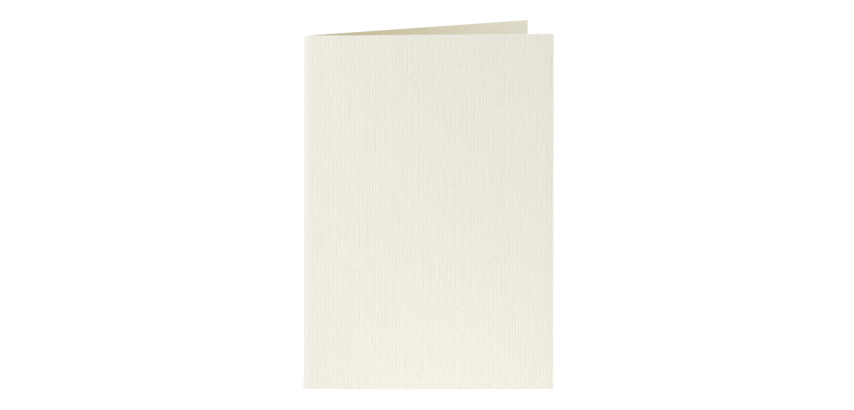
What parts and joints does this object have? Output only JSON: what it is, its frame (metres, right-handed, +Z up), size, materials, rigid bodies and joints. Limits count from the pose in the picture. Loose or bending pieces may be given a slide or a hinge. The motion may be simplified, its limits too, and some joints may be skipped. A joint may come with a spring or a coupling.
{
  "type": "folded card",
  "caption": "Blank double card in cream ribbed card stock, folded once down its left side and standing a little open on its lower edges.",
  "frame": {"origin": "on the surface the card stands on, under the middle of its box", "axes": "+Z up along the fold; the front leaf faces -Y; the fold is at the -X end"},
  "size_m": [0.1048, 0.048, 0.15],
  "materials": {
    "card_stock": "matte uncoated, fine ribs along the fold outside, smooth inside"
  },
  "bodies": {
    "root": {"card": "card_stock"}
  },
  "joints": []
}
